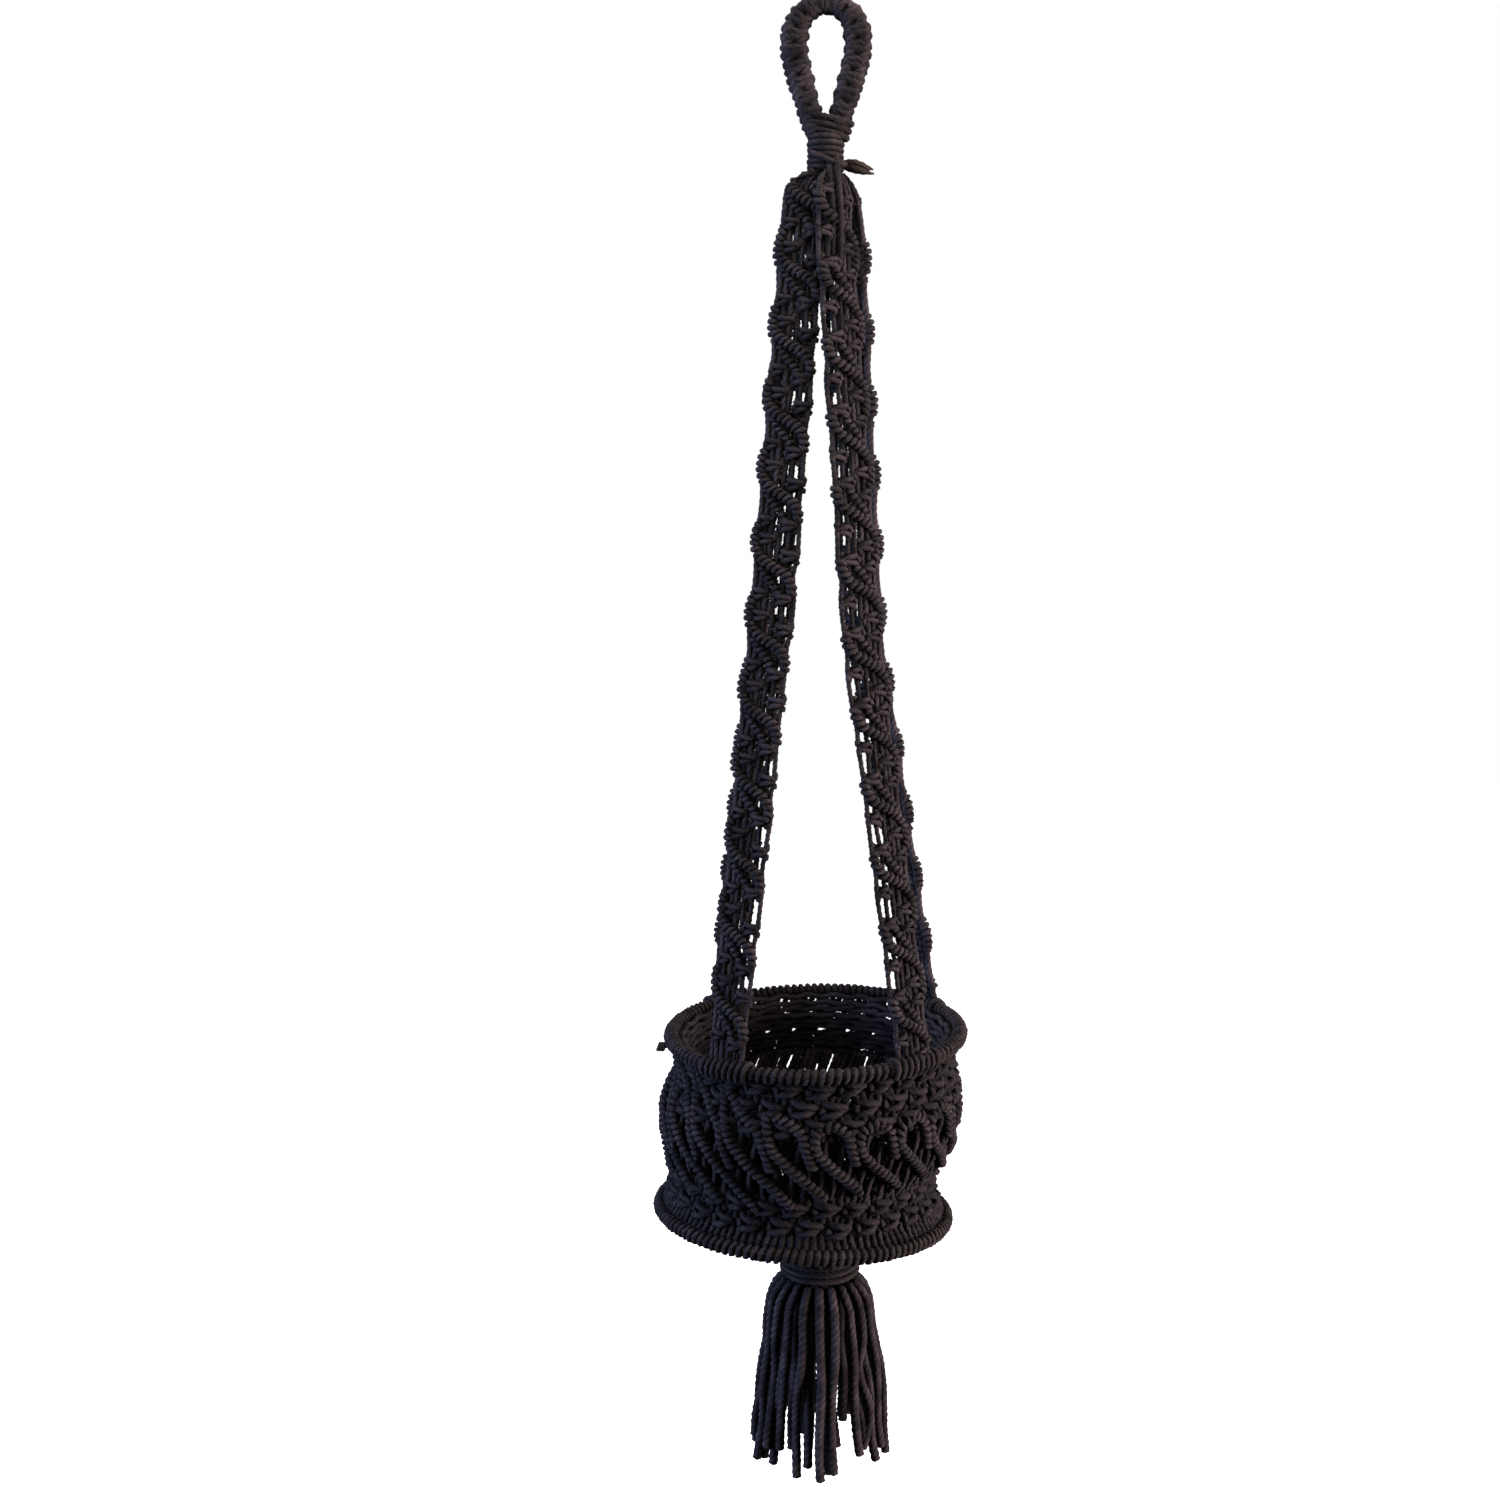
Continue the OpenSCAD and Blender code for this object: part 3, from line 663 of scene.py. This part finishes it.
def strap_pattern(strap):
    """Cords and ridges of one strap. facing 1 has its windows on its right, -1 is the same
    strap turned half round in its own plane."""
    lead = 8  # plain cord before the first repeat
    pitch = (strap.length - lead) / MODULES
    rung, wide = (4.4, 0.0) if strap.facing > 0 else (3.4, 4.0)
    cords, hitches = Yarn(), Yarn()

    def put(line):
        """Widens the windows towards the crown, by up to wide, and puts a line on the strap."""
        s, v, n = np.array(line, float).T
        s = s + wide * np.maximum(0, (s - 1.2) / 12.6) * np.clip(1.4 * v / strap.length, 0, 1)
        v = v if strap.facing > 0 else strap.length - v
        return strap.place(np.stack([strap.facing * s, v, n], 1))

    # Each cord's place across the strap and its diameter, and how far a repeat pulls it aside
    columns = ((-12.6, 4.8), (-8.2, 4.8), (-3.8, 4.8), (1.2, 4.2), (7.2, 3.6), (13.8, 3.7))
    pulls = (0.6, 0.5, 0.3, -0.4, -0.2, -1.0)
    for (s, diameter), pull in zip(columns, pulls):
        line = [(s, 0, 0)]
        for m in range(MODULES):
            v = lead + m * pitch
            line += [(s + rng.uniform(-0.9, 0.9), v + 4, rng.uniform(-0.6, 0.6)),
                     (s + pull, v + 18, 0),
                     (s + rng.uniform(-1.0, 1.0), v + 30, rng.uniform(-0.6, 0.6))]
        line.append((s, strap.length, 0))
        cords.lay(put(resample(curve_through(line, 8), 2.2)), diameter, step=2.4)
    for m in range(MODULES):
        v = lead + m * pitch
        ridge = [(-13.0, v - 15, 1.0), (-14.6, v - 8, 1.0), (-13.4, v + 1, 1.6), (-6, v + 9, 2.4),
                 (2.5, v + 14, 2.4), (10, v + 19, 1.8), (13, v + 26, 1.0), (12.8, v + 32, 0.6)]
        if m == 0:
            ridge = ridge[2:]
        coil = coil_round(curve_through(ridge, 8), 2.1, 4.0, rng.uniform(0, 6))
        hitches.lay(put(coil), 3.9, step=1.7)
        under = [(-10, v + 10, 0.4), (-6.5, v + 16, 1.0), (-1, v + 22, 1.2), (4, v + 28, 0.8),
                 (6, v + 34, 0.4)]
        hitches.lay(put(coil_round(curve_through(under, 8), 1.8, 4.0, rng.uniform(0, 6))), 3.6,
                    step=1.7)
        small_knots = ((7.4, 29, 4.6), (-6.4, -9, 5.0), (-7.6, 24, 4.0), (10.2, 1, rung))
        for middle, drop, half in small_knots:
            knot = square_knot(middle, v + drop + rng.uniform(-1.8, 1.8), 9.0, half, 3.2)
            for line in (knot[0], knot[3]):
                hitches.lay(put(resample(curve_through(line, 8), 1.3)), 3.7)
    return cords, hitches


for strap in STRAPS:
    strap_cords, strap_hitches = strap_pattern(strap)
    strap_cords.piece(strap.name + "_strands", "basket", "strap_cord", COTTON,
                      (strap.name + "_cords", "crown_fold"))
    strap_hitches.piece(strap.name + "_knots", "basket", "strap_cord", COTTON,
                        (strap.name + "_hitches",))


# ---- strap feet, hoop cord end ----

def make_strap_feet():
    """Each strap's cords hitched side by side over the covered hoop."""
    yarn = Yarn()
    turn = np.linspace(-0.35 * np.pi, 1.35 * np.pi, 16)
    for strap in STRAPS:
        for k in range(8):
            angle = strap.foot + (k - 3.5) * 4.6 / HOOP_R + 1.2 / HOOP_R * np.sin(turn)
            points = np.stack([angle, 5.7 * np.cos(turn), 5.7 * np.sin(turn)], 1)
            yarn.lay(on_hoop(points, UPPER, UPPER_LEAN), 4.4)
    yarn.piece("strap_foot_turns", "basket", "strap_cord", COTTON, ("strap_foot_hitches",))


def make_hoop_cord_end():
    """The covering cord's end, knotted outside the hoop."""
    knot = Yarn()
    ring = np.linspace(0, TURN, 14)
    centre = middle_of("hoop_cord_end")
    inward = unit(UPPER - centre)
    knot.lay(curve_through([centre + 8 * inward, centre + 4 * inward, centre], 6), 3.4, step=1.0)
    for k in (-1, 0, 1):
        loop = np.stack([1.7 * k + 0.8 * np.cos(ring), 2.0 * np.sin(ring), 2.2 * np.cos(ring)], 1)
        knot.lay(centre + loop, 2.8, step=1.0)
    knot.piece("hoop_cord_knot", "basket", "basket_cord", COTTON_WARM, ("hoop_cord_end",))


make_strap_feet()
make_hoop_cord_end()


# ---- loop ----

LOOP_CORD = 5.5
LOOP_BAND = 9.8  # length of the loop that one pair of wraps covers


def make_loop():
    """The folded bundle, the pairs of cord wrapped round it, and the wraps that close it."""
    path = curve_through([
        (-6.3, 0, -75), (-8.6, 0, -66), (-13.4, 0, -50), (-18.2, 0, -33), (-20.6, 0, -18),
        (-17.2, 0, -3.5), (-9.4, 0, 3.6), (0, 0, 5.5), (9.4, 0, 3.6), (17.2, 0, -3.5),
        (20.6, 0, -18), (18.2, 0, -33), (13.4, 0, -50), (8.6, 0, -66), (6.3, 0, -75)], 10)
    path = resample(path, 1.0)
    tangent = unit(np.gradient(path, axis=0))
    across = np.cross(tangent, np.array([0.0, 1.0, 0.0]))
    half = np.interp(np.abs(np.linspace(-1, 1, len(path))), [0, 0.14, 0.3, 0.6, 0.85, 1],
                     [5.6, 7.6, 9.2, 9.0, 7.8, 6.4])
    cover, core = Yarn(), Yarn()
    turn = np.linspace(0, TURN * 1.03, 26)
    count = int(len(path) / LOOP_BAND)
    for i in range(count):
        for pair in (-1, 1):
            at = (i + 0.5) * len(path) / count + pair * 1.6
            k = int(np.clip(at, 0, len(path) - 1))
            wide = half[k] - 2.2 + rng.uniform(-0.4, 0.4)
            deep = 6.1 + rng.uniform(-0.3, 0.3)
            lean = 1.5 * np.sin(turn + pair * 0.6)
            loop = (path[k] + across[k] * (wide * np.cos(turn))[:, None]
                    + np.array([0, 1.0, 0]) * (deep * np.sin(turn))[:, None]
                    + tangent[k] * lean[:, None])
            cover.lay(loop, LOOP_CORD)
    for k in range(3):
        z = -65 - 4.4 * k
        wide = np.interp(z, [-75, -60], [15.4, 20.6]) - 2.2
        ring = np.stack([wide * np.cos(turn), 7.4 * np.sin(turn), z - 3.4 * np.cos(turn)], 1)
        cover.lay(ring, 4.5)
    for y in (-2.5, 2.5):
        for side in (-1, 1):
            core.lay(path + across * (side * (half - 5.4))[:, None] + np.array([0, y, 0]), 9.4)
    cover.piece("loop_wraps", "loop", "loop_cord", COTTON_TIGHT, ("loop_cover",))
    core.piece("loop_core_strands", "loop", "loop_cord", COTTON, ("loop_core_cords",))


make_loop()


# ---- neck and crown ----

def bundle(radius, top, bottom):
    """Straight strands packed side by side in a round bundle on the neck's axis."""
    yarn, diameter = Yarn(), 4.0
    for ring, count in ((0, 1), (0.48, 6), (0.92, 12)):
        for i in range(count):
            a = TURN * i / count
            r = ring * (radius - diameter / 2)
            x, y = r * math.cos(a), r * math.sin(a)
            yarn.lay([(x, y, top), (x, y, (top + bottom) / 2), (x, y, bottom)], diameter)
    return yarn


NECK_TURNS = 6
NECK_CORD = 4.3


def make_neck():
    """The bundle, the turns wrapped round it, one slanting turn over them, and the tail."""
    wrap, tail = Yarn(), Yarn()
    core = bundle(8.4, NECK_HIGH[2], NECK_LOW[2] + 0.5)
    turn = np.linspace(0, TURN * 1.03, 28)
    height = NECK_HIGH[2] - NECK_LOW[2]
    for k in range(NECK_TURNS):
        z = NECK_LOW[2] + (k + 0.5) * height / NECK_TURNS
        r = 10.4 + rng.uniform(-0.4, 0.3)
        tilt = rng.uniform(-0.6, 0.6) - 0.5
        ring = np.stack([r * np.cos(turn), r * np.sin(turn), z + tilt * np.cos(turn)], 1)
        wrap.lay(ring, NECK_CORD)
    wrap.lay(curve_through([(-10, -7.5, -87), (-4, -12.2, -90), (4, -12.2, -94), (9.5, -9, -95),
                            (13, -3, -94)]), 4.2)
    low, high = node_box("neck_wrap_tail")
    middle = (low + high) / 2
    for k in range(5):
        a = TURN * k / 5
        spread = np.array([0, math.cos(a), math.sin(a)])
        line = [(low[0] + 1, 0, middle[2] - 1.5) + spread * 1.4,
                (low[0] + 9, 0, middle[2] - 2.6) + spread * 2.6,
                (high[0] - 2 - rng.uniform(0, 4), 0, middle[2] - 6.0) + spread * 1.4]
        tail.lay(curve_through(line, 8), 4.0, taper=(0.9, 1.1, 0.95, 0.3), step=1.2)
    wrap.piece("neck_wrap_turns", "neck", "neck_cord", COTTON_TIGHT, ("neck_wrap",))
    core.piece("neck_core_strands", "neck", "neck_cord", COTTON, ("neck_core_cords",))
    tail.piece("neck_tail", "neck", "neck_cord", COTTON_WARM, ("neck_wrap_tail",))


def ball_of_cord(centre):
    """Filler wound round the point that a pair of swings turns about."""
    turn, up = np.linspace(0, TURN * 5, 90), np.linspace(-1, 1, 90)
    r = 5.0 * np.sqrt(np.maximum(1 - up**2, 0.02))
    return Yarn().lay(centre + np.stack([r * np.cos(turn), r * np.sin(turn), 5.0 * up], 1), 3.2)


def make_crown():
    """The cord ends inside the bell of the straps, and the filler inside the swing."""
    ends = Yarn()
    for i in range(14):
        a = TURN * i / 14
        x, y = math.cos(a), math.sin(a)
        down = SWING[2] - 30 - rng.uniform(0, 26)
        ends.lay(curve_through([
            (8.6 * x, 8.6 * y, SWING[2] + 6.0), (11.6 * x - 1, 11.6 * y, SWING[2] - 1),
            (13 * x - 3, 13 * y, SWING[2] - 14), (14 * x - 3.5, 12 * y, down)], 8), 5.0)
    for x, low_z in ((3.2, -178), (8.0, -168)):
        ends.lay(curve_through([(x * 0.8, -8, -90), (x, -15, -104), (x + 2, -18.5, -130),
                                (x + 1.5, -17.5, -155), (x, -11, low_z)], 8), 5.0)
    ends.piece("crown_cord_ends", "basket", "neck_cord", COTTON, ("crown_fold",))
    ball_of_cord(SWING).piece("crown_filler", "crown_bundle", "neck_cord", COTTON,
                              ("crown_filler_cords",))


make_neck()
make_crown()


# ---- base net and tassel head ----

NET_RUN = 78.0  # length of the net's cords from the hoop to the collar


def on_base(points):
    """Places local points (along the hoop, down the net from the hoop, outward) on the net
    drawn in to the collar."""
    p = np.asarray(points, float)
    angle, q = p[:, 0] / HOOP_R, p[:, 1] / NET_RUN
    drop = LOWER[2] - COLLAR[2]
    r = np.interp(q, [0, 0.5, 0.9, 1], [HOOP_R - 4, 64, 33, COLLAR_R - 3])
    z = -np.interp(q, [0, 0.5, 0.9, 1], [2.5, 9.5, drop - 12, drop - 7]) - 0.7 * p[:, 2]
    centre = LOWER * np.stack([1 - q, 1 - q, np.ones_like(q)], 1)
    return hang(r * np.cos(angle), r * np.sin(angle), z, centre, LOWER_LEAN * (1 - q)[:, None])


def make_base():
    """Two open rows of knots, then cords that gather into the collar."""
    net = Yarn()
    knot_rows(net, (8.0, 22.0), 1, 0.0, NET_RUN, on_base, knots=18, backed=False)
    net.piece("base_net_cords", "base", "basket_cord", COTTON, ("base_net",))


def make_tassel_head():
    """The collar's turns, the cords bent round inside it, and the filler in their middle."""
    collar, core = Yarn(), Yarn()
    turn = np.linspace(0, TURN * 1.02, 40)
    for k in range(3):
        z = COLLAR[2] + (k - 1) * 4.3
        r = COLLAR_R - 2.4 + rng.uniform(-0.3, 0.2)
        ring = np.stack([r * np.cos(turn), r * np.sin(turn), z + 0.8 * np.sin(turn + k)], 1)
        collar.lay(COLLAR * [1, 1, 0] + ring, 4.4)
    neck_r, cords = COLLAR_R - 6, 36
    for i in range(cords):
        a = TURN * i / cords
        side = [(2.5, 11.5), (12, 11.8), (neck_r - 3, 10.5), (neck_r, 6), (neck_r, -6.4)]
        core.lay(curve_through([COLLAR + (r * math.cos(a), r * math.sin(a), z) for r, z in side],
                               6), 4.2)
    filler = ball_of_cord(COLLAR)
    collar.piece("tassel_collar_turns", "tassel", "tassel_cord", COTTON_TIGHT, ("tassel_collar",))
    core.piece("tassel_core_strands", "tassel", "tassel_cord", COTTON, ("tassel_core",))
    filler.piece("tassel_filler", "tassel_bundle", "tassel_cord", COTTON,
                 ("tassel_filler_cords",))


make_base()
make_tassel_head()


# ---- studio ----

AMBIENT = 0.04  # light from all round, as a share of the background's own white
FLOOR_HALF = 6.0  # in metres, as are the lamps' places below
FLOOR_DROP = 0.35
# Place, what it points at, power, size, spread in degrees and colour
LAMPS = {
    "warm_right": ((1.8, -0.45, -0.55), (0, 0, -0.6), 118, 0.6, 180, (1.0, 0.80, 0.77)),
    "cool_left": ((-1.9, -0.6, -0.35), (0, 0, -0.5), 92, 0.9, 180, (0.50, 0.62, 1.0)),
    "overhead": ((0.15, -0.3, 1.1), (0, 0, -0.5), 32, 0.5, 180, (1.0, 0.82, 0.82)),
    "front_top": ((0.1, -1.2, 0.2), (0, 0, -0.2), 1.5, 0.4, 60, (1.0, 0.90, 0.75)),
}


def make_world():
    """White to look at, and much dimmer as a light."""
    scene = bpy.context.scene
    scene.view_settings.view_transform = "Standard"
    scene.world = bpy.data.worlds.new("studio")
    scene.world.use_nodes = True
    tree = scene.world.node_tree
    seen = add_node(tree, "LightPath")
    colour = add_node(tree, "Mix", data_type="RGBA")
    colour.inputs["A"].default_value = (AMBIENT * 1.1, AMBIENT, AMBIENT * 0.9, 1)
    colour.inputs["B"].default_value = (1, 1, 1, 1)
    tree.links.new(seen.outputs["Is Camera Ray"], colour.inputs["Factor"])
    tree.links.new(colour.outputs["Result"], tree.nodes["Background"].inputs["Color"])
    tree.nodes["Background"].inputs["Strength"].default_value = 1.0


def make_floor():
    """Far below the tassel, and as white as the background."""
    mesh = bpy.data.meshes.new("floor")
    z = cad_low[2] - FLOOR_DROP
    corners = [(x * FLOOR_HALF, y * FLOOR_HALF, z) for x, y in ((-1, -1), (1, -1), (1, 1), (-1, 1))]
    mesh.from_pydata(corners, [], [(0, 1, 2, 3)])
    floor = bpy.data.objects.new("floor", mesh)
    bpy.context.collection.objects.link(floor)
    white = (1.0, 1.0, 1.0, 1)
    material, _ = new_material("pale_floor", {
        "Base Color": white, "Roughness": 0.9, "Emission Color": white, "Emission Strength": 1.0})
    mesh.materials.append(material)
    floor.visible_diffuse = floor.visible_glossy = False


def make_lamps():
    for name, (place, target, power, size, spread, colour) in LAMPS.items():
        light = bpy.data.lights.new(name, "AREA")
        light.energy, light.size, light.color = power, size, colour
        light.spread = math.radians(spread)
        lamp = bpy.data.objects.new(name, light)
        bpy.context.collection.objects.link(lamp)
        lamp.location = place
        lamp.rotation_euler = (Vector(target) - Vector(place)).to_track_quat("-Z", "Y").to_euler()


make_world()
make_floor()
make_lamps()
